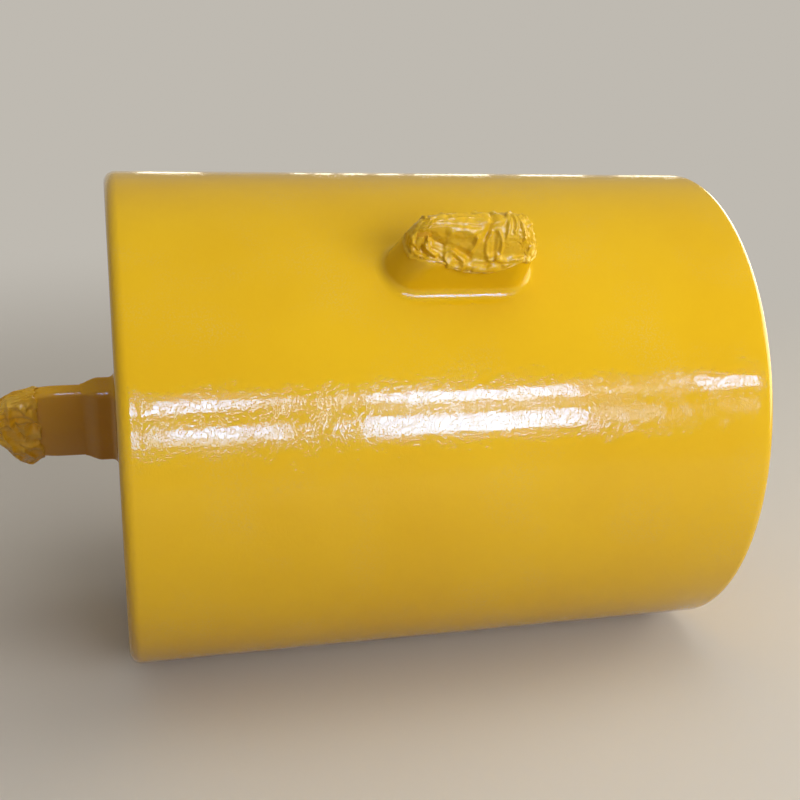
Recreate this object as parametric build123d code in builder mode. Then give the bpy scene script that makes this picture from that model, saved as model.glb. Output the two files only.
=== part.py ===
from build123d import *
from math import cos, radians, sin
import os

# Foam mooring buoy lying on its side, all lengths in millimetres.
# +X runs along the barrel, +Z is up, the origin is on the floor under the middle of the barrel.

# Barrel: a foam log in a thick sprayed elastomer skin
barrel_radius = 600
barrel_length = 1490
edge_radius = 28
skin = 12
rest_half_width = 40

# Side collar: an obround block that stands out of the barrel round the side eye
eye_angle = 40.5
collar_height = 100
collar_base_half_length = 163
collar_base_half_width = 64
collar_top_half_length = 145
collar_top_half_width = 59
collar_root_fillet = 20
collar_rim_fillet = 12
collar_sink = 12
patch_margin = 8
patch_depth = 40

# Steel core: a round shaft through the foam with a head plate at each end
shaft_radius = 70
head_radius = 190
head_thickness = 25

# Pad eye: the stout plate on the end at -X
pad_half_width = 150
pad_thickness = 33
pad_straight = 132
pad_shoulder_radius = 170
pad_nose_radius = 80
pad_hole_radius = 38
pad_edge_bevel = 4

# Root boot: the skin's thicker sleeve round the foot of the pad eye
boot_length = 78
boot_wall = 12
boot_corner = 14
boot_lip_round = 8
boot_root_fillet = 15

# D eye: the bent bar and its web on the end at +X
bar_radius = 27.5
d_half_width = 115
d_reach = 280
web_length = 80
web_thickness = 36
web_lip_round = 8

# Side eye: a low bent bar on a strut plate that stands on the shaft
strut_half_length = 130
strut_thickness = 30
bail_radius = 20
bail_half_width = 108
bail_rise = 70
bail_bend = 46
bail_depth = 34

# Film wraps over the pad eye's nose and over the side eye
nose_film_start = 178
nose_film_cover = 7
nose_film_thickness = 24
nose_film_bevel = 14
nose_film_lobe = ((178, -135), (203, -190), (228, -208), (250, -196), (278, -60))
nose_film_lobe_round = 12
nose_film_lobe_depth = 46
bail_film_rise = 82
bail_film_margin = 5
bail_film_crest_half_length = 96
bail_film_crest_half_width = 34
bail_film_bevel = 12

os.makedirs("parts", exist_ok=True)

# The soft barrel bears on the floor along a narrow flat, which sets the height of its axis
axis_height = (barrel_radius**2 - rest_half_width**2) ** 0.5

# Directions and planes of the eyes, which all lie in one plane through the barrel's axis
tilt = radians(eye_angle)
along = Vector(1, 0, 0)
outward = Vector(0, -sin(tilt), cos(tilt))
across = Vector(0, -cos(tilt), -sin(tilt))
axis_middle = Vector(0, 0, axis_height)
half_length = barrel_length / 2
head_face = half_length - skin
collar_top = barrel_radius + collar_height

# Each of these planes has its y outward: x runs along the barrel, or out of one of its ends
side_plane = Plane(axis_middle, x_dir=along, z_dir=across)
pad_plane = Plane(axis_middle - along * half_length, x_dir=-along, z_dir=-across)
d_plane = Plane(axis_middle + along * half_length, x_dir=along, z_dir=across)


def level_plane(height):
    """Plane square to the outward direction, at a height above the barrel's axis."""
    return Plane(axis_middle + outward * height, x_dir=along, z_dir=outward)


def station_plane(x):
    """Plane square to the barrel at a place along it."""
    return Plane(axis_middle + along * x, x_dir=outward, z_dir=along)


def on_collar_root(edge):
    """True for an edge where the collar meets the barrel's round wall."""
    near_collar = abs(edge.center().X) < collar_base_half_length and edge.center().Z > axis_height
    spots = [edge @ place for place in (0, 0.5, 1)]
    gaps = [abs(Vector(0, spot.Y, spot.Z - axis_height).length - barrel_radius) for spot in spots]
    return near_collar and max(gaps) < 0.05


def float_form(inset):
    """Barrel and side collar with sharp edges and every face moved in by the inset."""
    with BuildPart() as form:
        with BuildSketch(station_plane(-half_length + inset)):
            Circle(barrel_radius - inset)
        extrude(amount=barrel_length - 2 * inset)
        with BuildSketch(level_plane(barrel_radius - inset - collar_sink)):
            SlotOverall(2 * (collar_base_half_length - inset), 2 * (collar_base_half_width - inset))
        with BuildSketch(level_plane(collar_top - inset)):
            SlotOverall(2 * (collar_top_half_length - inset), 2 * (collar_top_half_width - inset))
        loft(ruled=True)
    return form.part


def end_rims(form, radius):
    """The two round edges at the barrel's ends."""
    circles = form.edges().filter_by(GeomType.CIRCLE)
    return circles.filter_by(lambda edge: abs(edge.radius - radius) < 0.01)


# Steel core, one plain turned piece
with BuildPart() as steel_core:
    with BuildSketch(station_plane(-head_face)):
        Circle(shaft_radius)
    extrude(amount=2 * head_face)
    with BuildSketch(station_plane(-head_face)):
        Circle(head_radius)
    extrude(amount=head_thickness)
    with BuildSketch(station_plane(head_face)):
        Circle(head_radius)
    extrude(amount=-head_thickness)
steel_core.part.label = "steel_core"

# Strut plate that carries the side eye, saddled on the shaft
strut_top = collar_top - bail_depth
with BuildPart() as side_strut:
    with BuildSketch(side_plane):
        with Locations((0, strut_top / 2)):
            Rectangle(2 * strut_half_length, strut_top)
    extrude(amount=strut_thickness / 2, both=True)
    with BuildSketch(station_plane(-strut_half_length)):
        Circle(shaft_radius)
    extrude(amount=2 * strut_half_length, mode=Mode.SUBTRACT)
side_strut.part.label = "side_strut"

# Side eye, a low bail bent from round bar
bail_crest = collar_top + bail_rise - bail_radius
with BuildPart() as side_bail:
    with BuildLine(side_plane):
        bail_path = FilletPolyline(
            (-bail_half_width, strut_top),
            (-bail_half_width, bail_crest),
            (bail_half_width, bail_crest),
            (bail_half_width, strut_top),
            radius=bail_bend,
        )
    with BuildSketch(Plane(bail_path @ 0, z_dir=bail_path % 0)):
        Circle(bail_radius)
    sweep()
side_bail.part.label = "side_bail"

# Pad eye: straight sides, shoulder arcs that run into a round nose, and the shackle hole.
# The shoulder arcs touch the nose arc from outside, which sets how far out the nose stands.
shoulder_reach = pad_shoulder_radius - pad_nose_radius
shoulder_drop = pad_shoulder_radius - pad_half_width
nose_run = (shoulder_reach**2 - shoulder_drop**2) ** 0.5
nose_centre = pad_straight + nose_run
nose_join = (
    nose_centre + pad_nose_radius * nose_run / shoulder_reach,
    pad_nose_radius * shoulder_drop / shoulder_reach,
)
pad_tip = nose_centre + pad_nose_radius
with BuildSketch(pad_plane) as pad_profile:
    with BuildLine():
        Line((-skin, 0), (-skin, pad_half_width))
        Line((-skin, pad_half_width), (pad_straight, pad_half_width))
        RadiusArc((pad_straight, pad_half_width), nose_join, pad_shoulder_radius)
        RadiusArc(nose_join, (pad_tip, 0), pad_nose_radius)
        mirror(about=Plane.XZ)
    make_face()

with BuildPart() as pad_eye:
    with BuildSketch(pad_plane.offset(-pad_thickness / 2)):
        add(pad_profile.sketch_local)
    extrude(amount=pad_thickness)
    rims = pad_eye.faces().filter_by(pad_plane).edges()
    chamfer(rims.filter_by(lambda edge: edge.center().X < -half_length - 1), pad_edge_bevel)
    with BuildSketch(pad_plane):
        with Locations((nose_centre, 0)):
            Circle(pad_hole_radius)
    extrude(amount=pad_thickness, both=True, mode=Mode.SUBTRACT)
pad_eye.part.label = "pad_eye"

# D eye: two legs from the head plate joined by a half round, and the web between the legs
d_bend_start = d_reach - bar_radius - d_half_width
with BuildPart() as d_bar:
    with BuildLine(d_plane):
        lower_leg = Line((-skin, -d_half_width), (d_bend_start, -d_half_width))
        CenterArc((d_bend_start, 0), d_half_width, -90, 180)
        Line((d_bend_start, d_half_width), (-skin, d_half_width))
    with BuildSketch(Plane(lower_leg @ 0, z_dir=lower_leg % 0)):
        Circle(bar_radius)
    sweep()
d_bar.part.label = "d_bar"

with BuildPart() as d_web:
    with BuildSketch(d_plane):
        with Locations(((web_length - skin) / 2, 0)):
            Rectangle(web_length + skin, 2 * d_half_width)
    extrude(amount=web_thickness / 2, both=True)
    web_lip = d_web.faces().sort_by(Axis.X)[-1]
    fillet(web_lip.edges().filter_by(lambda edge: edge.length > web_thickness + 1), web_lip_round)
    add(d_bar.part, mode=Mode.SUBTRACT)
d_web.part.label = "d_web"

# Foam core: the float's form less the skin, with its ends bevelled, round the steel
with BuildPart() as inner_form:
    add(float_form(skin))
    chamfer(end_rims(inner_form, barrel_radius - skin), edge_radius - skin)
with BuildPart() as foam_core:
    add(inner_form.part)
    for steel in (steel_core, side_strut, side_bail):
        add(steel.part, mode=Mode.SUBTRACT)
foam_core.part.label = "foam_core"

# Sprayed skin: round ends, the collar's root and rim blended, the boot round the pad eye and
# the flat that the barrel rests on
with BuildPart() as skin_form:
    add(float_form(0))
    fillet(end_rims(skin_form, barrel_radius), edge_radius)
    fillet(skin_form.edges().filter_by(on_collar_root), collar_root_fillet)
    collar_face = skin_form.faces().sort_by(Axis(tuple(axis_middle), tuple(outward)))[-1]
    fillet(collar_face.edges(), collar_rim_fillet)
    with BuildSketch(station_plane(-half_length)):
        RectangleRounded(2 * (pad_half_width + boot_wall), pad_thickness + 2 * boot_wall, boot_corner)
    extrude(amount=-boot_length)
    boot_lip = skin_form.faces().sort_by(Axis.X)[0]
    fillet(boot_lip.edges(), boot_lip_round)
    end_face = skin_form.faces().filter_by(Plane.YZ).sort_by(Axis.X)[1]
    fillet(end_face.inner_wires()[0].edges(), boot_root_fillet)
    split(bisect_by=Plane.XY, keep=Keep.TOP)
    add(inner_form.part, mode=Mode.SUBTRACT)
    for fitting in (pad_eye, d_bar, d_web, side_bail):
        add(fitting.part, mode=Mode.SUBTRACT)

# The skin is parted along an obround just clear of the collar's root
patch_half_length = collar_base_half_length + collar_root_fillet + patch_margin
patch_half_width = collar_base_half_width + collar_root_fillet + patch_margin
with BuildPart() as collar_patch:
    with BuildSketch(level_plane(barrel_radius - patch_depth)):
        SlotOverall(2 * patch_half_length, 2 * patch_half_width)
    extrude(amount=patch_depth + collar_height + patch_margin)
with BuildPart() as outer_skin:
    add(skin_form.part)
    add(collar_patch.part, mode=Mode.SUBTRACT)
outer_skin.part.label = "outer_skin"
with BuildPart() as side_collar:
    add(skin_form.part)
    add(collar_patch.part, mode=Mode.INTERSECT)
side_collar.part.label = "side_collar"

# Film over the pad eye's nose, drawn close round the plate, with bevelled edges and a bunch of
# loose film below
film_face = pad_thickness / 2 + nose_film_thickness
film_shoulder = film_face - nose_film_bevel
crest_cover = nose_film_cover - nose_film_bevel
film_slices = (
    (-film_face, crest_cover, -film_shoulder, nose_film_cover),
    (-film_shoulder, nose_film_cover, film_shoulder, nose_film_cover),
    (film_shoulder, nose_film_cover, film_face, crest_cover),
)
with BuildPart() as nose_film:
    for start, start_cover, end, end_cover in film_slices:
        with BuildSketch(pad_plane.offset(start)):
            add(pad_profile.sketch_local)
            offset(amount=start_cover)
        with BuildSketch(pad_plane.offset(end)):
            add(pad_profile.sketch_local)
            offset(amount=end_cover)
        loft(ruled=True)
    with BuildSketch(pad_plane):
        Polygon(*nose_film_lobe, align=None)
        fillet(vertices(), nose_film_lobe_round)
    extrude(amount=nose_film_lobe_depth / 2, both=True)
    split(bisect_by=station_plane(-half_length - nose_film_start), keep=Keep.BOTTOM)
    add(pad_eye.part, mode=Mode.SUBTRACT)
nose_film.part.label = "nose_film"

# Film over the side eye, drawn down on the collar's top
film_half_length = collar_top_half_length - bail_film_margin
film_half_width = collar_top_half_width - bail_film_margin
with BuildPart() as bail_film:
    with BuildSketch(level_plane(collar_top)):
        SlotOverall(2 * film_half_length, 2 * film_half_width)
    with BuildSketch(level_plane(collar_top + bail_film_rise)):
        SlotOverall(2 * bail_film_crest_half_length, 2 * bail_film_crest_half_width)
    loft(ruled=True)
    crest_face = bail_film.faces().sort_by(Axis(tuple(axis_middle), tuple(outward)))[-1]
    chamfer(crest_face.edges(), bail_film_bevel)
    add(side_bail.part, mode=Mode.SUBTRACT)
bail_film.part.label = "bail_film"

pieces = (
    foam_core, outer_skin, side_collar, steel_core, side_strut, side_bail,
    pad_eye, d_bar, d_web, nose_film, bail_film,
)
for piece in pieces:
    export_step(piece.part, f"parts/{piece.part.label}.step")
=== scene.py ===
from math import atan2, cos, exp, hypot, pi, radians, sin, sqrt, tau

import bmesh
import bpy
from mathutils import Matrix, Vector, noise


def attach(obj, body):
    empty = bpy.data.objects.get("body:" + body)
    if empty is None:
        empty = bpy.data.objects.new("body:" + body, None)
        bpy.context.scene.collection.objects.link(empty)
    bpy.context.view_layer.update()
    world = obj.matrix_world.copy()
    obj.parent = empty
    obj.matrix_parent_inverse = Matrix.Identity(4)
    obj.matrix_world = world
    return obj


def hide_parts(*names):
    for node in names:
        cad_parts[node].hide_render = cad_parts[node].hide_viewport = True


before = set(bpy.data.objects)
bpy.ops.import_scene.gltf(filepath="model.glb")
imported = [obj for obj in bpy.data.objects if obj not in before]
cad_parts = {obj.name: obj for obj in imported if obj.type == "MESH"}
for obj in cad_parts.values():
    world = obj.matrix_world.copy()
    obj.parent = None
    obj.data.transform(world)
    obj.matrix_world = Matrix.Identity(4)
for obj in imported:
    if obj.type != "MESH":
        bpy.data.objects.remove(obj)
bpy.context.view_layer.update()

# Foam mooring buoy on a pale floor, in metres, in the frame of the solids:
# +X runs along the barrel, +Z is up, the origin is on the floor under the middle of the barrel.

# Barrel
BARREL_RADIUS = 0.6
HALF_LENGTH = 0.745
EDGE_RADIUS = 0.028
REST_HALF_WIDTH = 0.04
AXIS_HEIGHT = sqrt(BARREL_RADIUS**2 - REST_HALF_WIDTH**2)
BARREL_STEPS = 240
WALL_STEPS = 60
WAVE_DEPTH = 0.0010
WAVE_SCALE = 3.4

# Side collar; its thin outer edge sinks a little into the barrel and spreads by so many times that
EYE_ANGLE = radians(40.5)
COLLAR_TOP = 0.700
COLLAR_BASE = 0.588
COLLAR_BASE_HALF_LENGTH = 0.163
COLLAR_BASE_HALF_WIDTH = 0.064
COLLAR_TOP_HALF_LENGTH = 0.145
COLLAR_TOP_HALF_WIDTH = 0.059
COLLAR_FLARE = 0.020
COLLAR_RIM = 0.012
COLLAR_LEAN = 0.017
COLLAR_SINK = 0.0005
SINK_SPREAD = 8

# Pad eye and the boot round its foot
PAD_HALF_WIDTH = 0.150
PAD_THICKNESS = 0.033
PAD_STRAIGHT = 0.132
PAD_SHOULDER_RADIUS = 0.170
PAD_NOSE_RADIUS = 0.080
PAD_HOLE_RADIUS = 0.038
PAD_EDGE_ROUND = 0.011
BOOT_LENGTH = 0.078
BOOT_WALL = 0.012
BOOT_CORNER = 0.014
BOOT_LEAST_CORNER = 0.006
BOOT_TAPER = 0.040
BOOT_FLARE = 0.015

# D eye
BAR_RADIUS = 0.0275
D_HALF_WIDTH = 0.115
D_REACH = 0.280
WEB_LENGTH = 0.080
WEB_THICKNESS = 0.036
WEB_LIP_ROUND = 0.008
LEG_FLARE = 0.014

# How far a piece runs into its neighbour, how far a flare's thin edge spreads, and how deep the
# D eye starts inside the end face
LAP = 0.001
SKIRT = 0.002
EYE_SINK = 0.004

# Film: its thickness, its gap over the collar, its clearance as it settles, how much it shrinks,
# how hard it is drawn down and for how long, and how far a spot of it may move
FILM_THICKNESS = 0.0008
FILM_GAP = 0.002
FILM_CLEARANCE = 0.0015
FILM_SLACK = 0.04
FILM_PULL = 0.8
FILM_FRAMES = 16
FILM_CAP = 0.012
FILM_CUTS = 34

# Directions of the eyes, which all lie in one plane through the barrel's axis
ALONG = Vector((1, 0, 0))
OUTWARD = Vector((0, -sin(EYE_ANGLE), cos(EYE_ANGLE)))
UPPER = Vector((0, cos(EYE_ANGLE), sin(EYE_ANGLE)))
AXIS_MIDDLE = Vector((0, 0, AXIS_HEIGHT))


def placed(origin, x_axis, y_axis, z_axis):
    """Matrix that sets a piece's own x, y and z along three directions from an origin."""
    turn = Matrix((x_axis, y_axis, z_axis)).transposed().to_4x4()
    return Matrix.Translation(origin) @ turn


side_place = placed(AXIS_MIDDLE, ALONG, UPPER, OUTWARD)
pad_place = placed(AXIS_MIDDLE - ALONG * HALF_LENGTH, -ALONG, OUTWARD, UPPER)
d_place = placed(AXIS_MIDDLE + ALONG * HALF_LENGTH, ALONG, OUTWARD, -UPPER)


# Node groups

def new_group(name, inputs, outputs):
    """Shader node group with named sockets, each given as (name, kind, first value)."""
    group = bpy.data.node_groups.new(name, "ShaderNodeTree")
    for socket_name, kind, value in inputs:
        socket = group.interface.new_socket(socket_name, in_out="INPUT", socket_type=kind)
        socket.default_value = value
    for socket_name, kind in outputs:
        group.interface.new_socket(socket_name, in_out="OUTPUT", socket_type=kind)
    return group


def add_node(tree, kind, links=None, **values):
    """Node with its inputs set from values, and linked from other nodes' outputs."""
    node = tree.nodes.new(kind)
    for key, value in values.items():
        setattr(node, key, value)
    for key, source in (links or {}).items():
        if isinstance(source, bpy.types.NodeSocket):
            tree.links.new(source, node.inputs[key])
        else:
            node.inputs[key].default_value = source
    return node


def vector_math(tree, operation, first, second=None, scale=None):
    """Vector arithmetic on one or two vectors, or on a vector and a number."""
    node = tree.nodes.new("ShaderNodeVectorMath")
    node.operation = operation
    for index, source in ((0, first), (1, second)):
        if isinstance(source, bpy.types.NodeSocket):
            tree.links.new(source, node.inputs[index])
        elif source is not None:
            node.inputs[index].default_value = source
    if scale is not None:
        node.inputs["Scale"].default_value = scale
    return node


def arithmetic(tree, operation, *values):
    """Arithmetic on masks and numbers."""
    return add_node(tree, "ShaderNodeMath", dict(enumerate(values)), operation=operation).outputs[0]


def cloud(tree, place, scale, detail):
    """Soft clouds of a given fineness, from 0 to 1."""
    links = {"Vector": place, "Scale": scale, "Detail": detail}
    return add_node(tree, "ShaderNodeTexNoise", links).outputs["Fac"]


def stretched(tree, value, low, high):
    """A mask that goes from 0 to 1 while a value goes from low to high."""
    links = {"Value": value, "From Min": low, "From Max": high}
    return add_node(tree, "ShaderNodeMapRange", links).outputs["Result"]


def mixed_color(tree, factor, first, second):
    """Colour that goes from the first to the second by a mask."""
    links = {0: factor, 6: first, 7: second}
    return add_node(tree, "ShaderNodeMix", links, data_type="RGBA").outputs[2]


# The spray gun's streaks: their main direction, how far they are drawn out and how they swirl
STREAK_DIRECTION = (0.50, 0.56, 0.66)
STREAK_STRETCH = 0.50
SWIRL_REACH = 0.06

# The peel's narrow creases between its smooth cells: their width and their share of the depth
CREASE_WIDTH = 0.09
CREASE_SHARE = 0.45


def peel_group():
    """Normal of sprayed elastomer: long slow waves under a peel of smooth cells and narrow creases."""
    group = new_group(
        "sprayed_peel",
        (
            ("Peel Scale", "NodeSocketFloat", 70.0),
            ("Peel Depth", "NodeSocketFloat", 0.0006),
            ("Wave Scale", "NodeSocketFloat", 9.0),
            ("Wave Depth", "NodeSocketFloat", 0.002),
        ),
        (("Normal", "NodeSocketVector"),),
    )
    inlet = add_node(group, "NodeGroupInput")
    place = add_node(group, "ShaderNodeTexCoord").outputs["Object"]
    swirl = add_node(group, "ShaderNodeTexNoise", {"Vector": place, "Scale": 14.0, "Detail": 1.0})
    bend = vector_math(group, "SCALE", swirl.outputs["Color"], scale=SWIRL_REACH)
    bent = vector_math(group, "ADD", place, bend.outputs["Vector"])
    along = vector_math(group, "DOT_PRODUCT", bent.outputs["Vector"], STREAK_DIRECTION)
    drawn = add_node(
        group,
        "ShaderNodeVectorMath",
        {0: STREAK_DIRECTION, "Scale": along.outputs["Value"]},
        operation="SCALE",
    )
    shortened = vector_math(group, "SCALE", drawn.outputs["Vector"], scale=STREAK_STRETCH)
    streaked = vector_math(group, "SUBTRACT", bent.outputs["Vector"], shortened.outputs["Vector"])
    peel = cloud(group, streaked.outputs["Vector"], inlet.outputs["Peel Scale"], 1.0)
    either_way = arithmetic(group, "ABSOLUTE", arithmetic(group, "SUBTRACT", peel, 0.5))
    crease = add_node(
        group,
        "ShaderNodeMapRange",
        {"Value": either_way, "From Max": CREASE_WIDTH},
        interpolation_type="SMOOTHSTEP",
    )
    soft_peel = arithmetic(group, "MULTIPLY", peel, 1 - CREASE_SHARE)
    creased_peel = arithmetic(group, "MULTIPLY_ADD", crease.outputs["Result"], CREASE_SHARE, soft_peel)
    wave = cloud(group, place, inlet.outputs["Wave Scale"], 2.0)
    peel_bump = add_node(
        group,
        "ShaderNodeBump",
        {"Height": creased_peel, "Distance": inlet.outputs["Peel Depth"], "Strength": 1.0},
    )
    wave_bump = add_node(
        group,
        "ShaderNodeBump",
        {
            "Height": wave,
            "Distance": inlet.outputs["Wave Depth"],
            "Strength": 1.0,
            "Normal": peel_bump.outputs["Normal"],
        },
    )
    add_node(group, "NodeGroupOutput", {"Normal": wave_bump.outputs["Normal"]})
    return group


def drift_group():
    """Colour that drifts a little, as one spray pass lies thicker than the next."""
    group = new_group(
        "spray_drift",
        (
            ("Thick", "NodeSocketColor", (0.75, 0.45, 0.02, 1)),
            ("Thin", "NodeSocketColor", (0.80, 0.50, 0.05, 1)),
            ("Scale", "NodeSocketFloat", 2.5),
        ),
        (("Color", "NodeSocketColor"), ("Mask", "NodeSocketFloat")),
    )
    inlet = add_node(group, "NodeGroupInput")
    place = add_node(group, "ShaderNodeTexCoord").outputs["Object"]
    mask = stretched(group, cloud(group, place, inlet.outputs["Scale"], 4.0), 0.35, 0.65)
    color = mixed_color(group, mask, inlet.outputs["Thick"], inlet.outputs["Thin"])
    add_node(group, "NodeGroupOutput", {"Color": color, "Mask": mask})
    return group


def dust_group():
    """Mask of workshop dust, which gathers in faint speckles and smears."""
    group = new_group(
        "shop_dust",
        (("Scale", "NodeSocketFloat", 6.0), ("Amount", "NodeSocketFloat", 0.5)),
        (("Mask", "NodeSocketFloat"),),
    )
    inlet = add_node(group, "NodeGroupInput")
    place = add_node(group, "ShaderNodeTexCoord").outputs["Object"]
    smear = stretched(group, cloud(group, place, inlet.outputs["Scale"], 8.0), 0.5, 0.75)
    speck = stretched(group, cloud(group, place, 240.0, 2.0), 0.45, 0.8)
    both = arithmetic(group, "MULTIPLY", smear, speck)
    dust = arithmetic(group, "MULTIPLY", both, inlet.outputs["Amount"])
    add_node(group, "NodeGroupOutput", {"Mask": dust})
    return group


sprayed_peel = peel_group()
spray_drift = drift_group()
shop_dust = dust_group()


# Materials

DUST_COLOR = (0.62, 0.47, 0.22, 1)


def new_material(name):
    """Empty node material and its shader."""
    material = bpy.data.materials.new(name)
    material.use_nodes = True
    tree = material.node_tree
    return material, tree, tree.nodes["Principled BSDF"]


def use_group(tree, group, **values):
    """A node group placed in a material, its inputs set by name."""
    node = tree.nodes.new("ShaderNodeGroup")
    node.node_tree = group
    for key, value in values.items():
        node.inputs[key.replace("_", " ")].default_value = value
    return node


def mapped(tree, value, low, high):
    """A mask from 0 to 1 turned into a value between two ends."""
    links = {"Value": value, "To Min": low, "To Max": high}
    return add_node(tree, "ShaderNodeMapRange", links).outputs["Result"]


def sprayed_material(name, thick, thin, peel_scale, peel_depth, wave_depth, rough, glossy_ior):
    """Golden yellow gloss over an orange peel, with a little dust."""
    material, tree, shader = new_material(name)
    drift = use_group(tree, spray_drift, Thick=thick, Thin=thin, Scale=2.2)
    dust = use_group(tree, shop_dust, Scale=5.0, Amount=0.35)
    peel = use_group(
        tree,
        sprayed_peel,
        Peel_Scale=peel_scale,
        Peel_Depth=peel_depth,
        Wave_Scale=9.0,
        Wave_Depth=wave_depth,
    )
    color = mixed_color(tree, dust.outputs["Mask"], drift.outputs["Color"], DUST_COLOR)
    tree.links.new(color, shader.inputs["Base Color"])
    tree.links.new(mapped(tree, dust.outputs["Mask"], rough, rough + 0.35), shader.inputs["Roughness"])
    tree.links.new(peel.outputs["Normal"], shader.inputs["Normal"])
    shader.inputs["IOR"].default_value = glossy_ior
    return material


def film_material(name, thick, thin):
    """Crumpled thin film under yellow overspray, which lies thinner here and there."""
    material, tree, shader = new_material(name)
    drift = use_group(tree, spray_drift, Thick=thick, Thin=thin, Scale=26.0)
    peel = use_group(
        tree, sprayed_peel, Peel_Scale=300.0, Peel_Depth=0.0001, Wave_Scale=90.0, Wave_Depth=0.0004
    )
    tree.links.new(drift.outputs["Color"], shader.inputs["Base Color"])
    tree.links.new(mapped(tree, drift.outputs["Mask"], 0.20, 0.34), shader.inputs["Roughness"])
    tree.links.new(peel.outputs["Normal"], shader.inputs["Normal"])
    return material


def foam_material():
    """Closed-cell foam with its fine pores."""
    material, tree, shader = new_material("closed_cell_foam")
    place = tree.nodes.new("ShaderNodeTexCoord").outputs["Object"]
    pores = add_node(tree, "ShaderNodeTexVoronoi", {"Vector": place, "Scale": 320.0})
    drift = use_group(
        tree, spray_drift, Thick=(0.80, 0.76, 0.64, 1), Thin=(0.88, 0.86, 0.78, 1), Scale=12.0
    )
    depth = {"Height": pores.outputs["Distance"], "Distance": 0.001, "Strength": 0.6}
    bump = add_node(tree, "ShaderNodeBump", depth)
    tree.links.new(drift.outputs["Color"], shader.inputs["Base Color"])
    tree.links.new(mapped(tree, drift.outputs["Mask"], 0.75, 0.9), shader.inputs["Roughness"])
    tree.links.new(bump.outputs["Normal"], shader.inputs["Normal"])
    return material


def core_steel_material():
    """Primed steel of the shaft and the strut."""
    material, tree, shader = new_material("primed_steel")
    drift = use_group(
        tree, spray_drift, Thick=(0.16, 0.15, 0.15, 1), Thin=(0.24, 0.22, 0.20, 1), Scale=7.0
    )
    peel = use_group(
        tree, sprayed_peel, Peel_Scale=160.0, Peel_Depth=0.0003, Wave_Scale=12.0, Wave_Depth=0.0008
    )
    tree.links.new(drift.outputs["Color"], shader.inputs["Base Color"])
    tree.links.new(mapped(tree, drift.outputs["Mask"], 0.45, 0.65), shader.inputs["Roughness"])
    tree.links.new(peel.outputs["Normal"], shader.inputs["Normal"])
    return material


skin_finish = sprayed_material(
    "sprayed_skin",
    thick=(0.74, 0.435, 0.004, 1),
    thin=(0.78, 0.475, 0.006, 1),
    peel_scale=115.0,
    peel_depth=0.00017,
    wave_depth=0.0011,
    rough=0.05,
    glossy_ior=1.45,
)
# The steel's yellow paint: its deeper orange and its brightness were set to match the pad eye in warm,
# dim light, which is painted shade; the D eye and the side bail carry it too
shade_tinted_paint = sprayed_material(
    "yellow_paint",
    thick=(0.76, 0.40, 0.010, 1),
    thin=(0.81, 0.45, 0.014, 1),
    peel_scale=170.0,
    peel_depth=0.00012,
    wave_depth=0.0005,
    rough=0.10,
    glossy_ior=1.48,
)
# The boot is the skin's own elastomer, set more orange than the skin to match the warm, dim light at
# the pad eye: painted shade
shade_tinted_boot = sprayed_material(
    "sprayed_boot",
    thick=(0.75, 0.39, 0.007, 1),
    thin=(0.80, 0.44, 0.009, 1),
    peel_scale=160.0,
    peel_depth=0.00016,
    wave_depth=0.0011,
    rough=0.10,
    glossy_ior=1.45,
)
side_film_finish = film_material("side_film", (0.74, 0.43, 0.004, 1), (0.72, 0.45, 0.012, 1))
# The pad eye's wrap is the same film as the side wrap, set lighter and more orange to match the warm,
# dim light at the pad eye: painted light and shade
shade_tinted_end_film = film_material("end_film", (0.82, 0.45, 0.011, 1), (0.76, 0.47, 0.050, 1))


# Mesh helpers

def run_to(bm, vert, target, steps=1):
    """Extrudes a vertex to a target in equal steps and returns the last vertex."""
    start = vert.co.copy()
    for step in range(1, steps + 1):
        vert = bmesh.ops.extrude_vert_indiv(bm, verts=[vert])["verts"][0]
        vert.co = start.lerp(Vector(target), step / steps)
    return vert


def arc_on(bm, vert, centre, axis, angle, steps):
    """Turns a vertex about a centre, leaving an arc of edges, and returns the last vertex."""
    turned = bmesh.ops.spin(
        bm, geom=[vert], cent=centre, axis=axis, angle=angle, steps=steps, use_duplicate=False
    )
    return turned["geom_last"][0]


def full_turn(bm, steps):
    """Turns all of a profile once round the x axis."""
    bmesh.ops.spin(
        bm,
        geom=bm.verts[:] + bm.edges[:],
        cent=(0, 0, 0),
        axis=(1, 0, 0),
        angle=tau,
        steps=steps,
        use_merge=True,
        use_duplicate=False,
    )


def round_edges(bm, edges, radius, segments):
    """Rounds the given edges."""
    bmesh.ops.bevel(
        bm,
        geom=edges,
        offset=radius,
        offset_type="OFFSET",
        affect="EDGES",
        segments=segments,
        profile=0.5,
        material=-1,
    )


def draw_out(bm, edges, run, steps):
    """Extrudes a loop of edges along x in equal steps and returns the last loop."""
    for step in range(steps):
        grown = bmesh.ops.extrude_edge_only(bm, edges=edges)["geom"]
        verts = [item for item in grown if isinstance(item, bmesh.types.BMVert)]
        edges = [item for item in grown if isinstance(item, bmesh.types.BMEdge)]
        edges = [edge for edge in edges if all(vert in verts for vert in edge.verts)]
        bmesh.ops.translate(bm, vec=(run / steps, 0, 0), verts=verts)
    return edges


def rounded_ring(corner_steps, side_steps, end_steps):
    """Places round a rounded rectangle: where each lies on its straight sides, and its direction."""
    ring = []
    for quarter in range(4):
        side_x, side_y = ((1, 1), (-1, 1), (-1, -1), (1, -1))[quarter]
        next_x, next_y = ((-1, 1), (-1, -1), (1, -1), (1, 1))[quarter]
        for step in range(corner_steps):
            turn = (quarter + step / corner_steps) * pi / 2
            ring.append((side_x, side_y, cos(turn), sin(turn)))
        run_steps = side_steps if quarter % 2 == 0 else end_steps
        turn = (quarter + 1) * pi / 2
        for step in range(run_steps):
            share = step / run_steps
            ring.append(
                (
                    side_x + (next_x - side_x) * share,
                    side_y + (next_y - side_y) * share,
                    cos(turn),
                    sin(turn),
                )
            )
    return ring


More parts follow.
